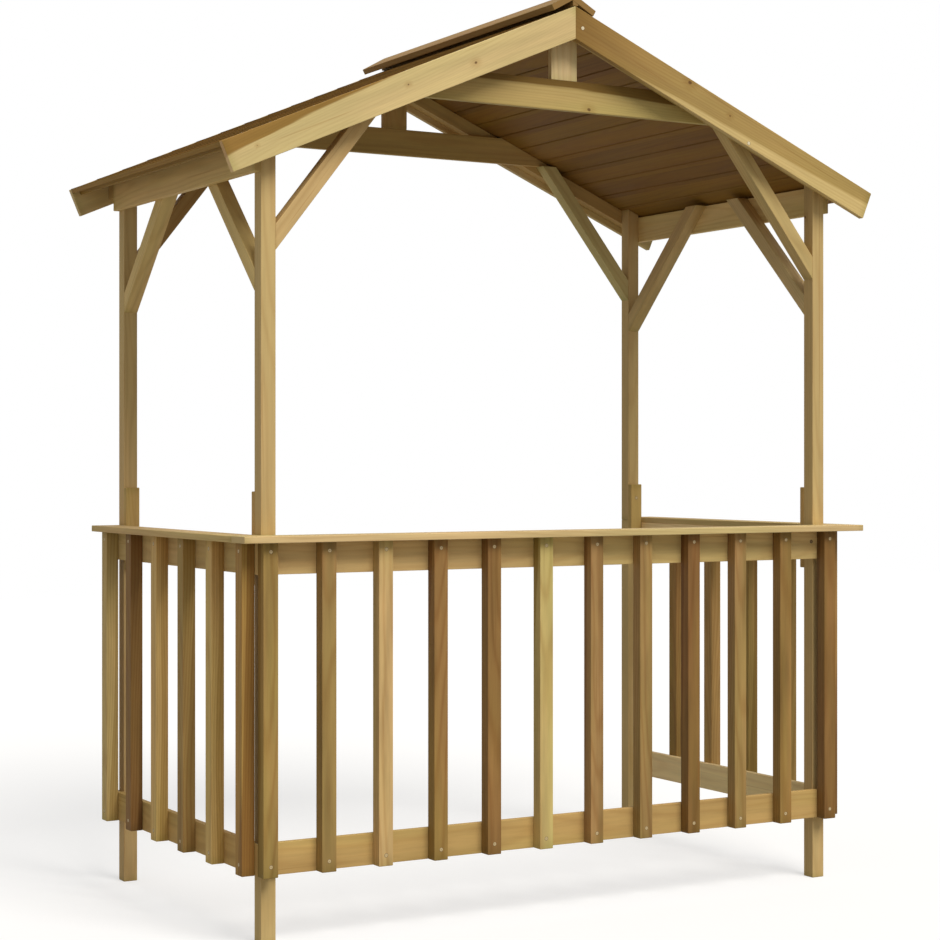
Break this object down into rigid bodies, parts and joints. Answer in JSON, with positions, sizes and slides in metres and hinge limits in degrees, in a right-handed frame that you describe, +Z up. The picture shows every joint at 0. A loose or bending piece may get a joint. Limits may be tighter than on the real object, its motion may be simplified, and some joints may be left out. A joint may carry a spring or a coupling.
{
  "type": "barbecue shelter",
  "caption": "Open timber barbecue shelter with a boarded gable roof on braced posts, slatted front and sides, a U-shaped counter and an open back.",
  "frame": {"origin": "ground level under the centre of the overall box", "axes": "+Z up, -Y out of the slatted front towards the guests, +X along the front to the right as seen from the front"},
  "size_m": [1.928, 1.056, 2.3169],
  "materials": {
    "frame_timber": "planed and pressure treated softwood",
    "rail_timber": "planed and pressure treated softwood",
    "slat_timber": "planed and pressure treated softwood",
    "counter_timber": "planed and pressure treated softwood",
    "barge_timber": "planed and pressure treated softwood",
    "roof_timber": "planed and pressure treated softwood"
  },
  "bodies": {
    "root": {"post_lower_front_left": "frame_timber", "post_lower_front_right": "frame_timber", "post_lower_rear_left": "frame_timber", "post_lower_rear_right": "frame_timber", "post_upper_front_left": "frame_timber", "post_upper_front_right": "frame_timber", "post_upper_rear_left": "frame_timber", "post_upper_rear_right": "frame_timber", "splice_cleats": "frame_timber", "gable_brace_front_left": "frame_timber", "gable_brace_front_right": "frame_timber", "gable_brace_rear_left": "frame_timber", "gable_brace_rear_right": "frame_timber", "side_brace_front_left": "frame_timber", "side_brace_front_right": "frame_timber", "side_brace_rear_left": "frame_timber", "side_brace_rear_right": "frame_timber", "rail_front_top": "rail_timber", "rail_front_bottom": "rail_timber", "rail_left_top": "rail_timber", "rail_left_bottom": "rail_timber", "rail_right_top": "rail_timber", "rail_right_bottom": "rail_timber", "eaves_beam_left": "rail_timber", "eaves_beam_right": "rail_timber", "collar_front": "rail_timber", "collar_rear": "rail_timber", "king_post_front": "rail_timber", "king_post_rear": "rail_timber", "slats_front": "slat_timber", "slats_left": "slat_timber", "slats_right": "slat_timber", "counter_front": "counter_timber", "counter_left": "counter_timber", "counter_right": "counter_timber", "barge_front_left": "barge_timber", "barge_front_right": "barge_timber", "barge_rear_left": "barge_timber", "barge_rear_right": "barge_timber", "roof_rafters": "roof_timber", "roof_left": "roof_timber", "roof_right": "roof_timber", "ridge_board": "roof_timber", "ridge_cap_left": "roof_timber", "ridge_cap_right": "roof_timber"}
  },
  "joints": []
}
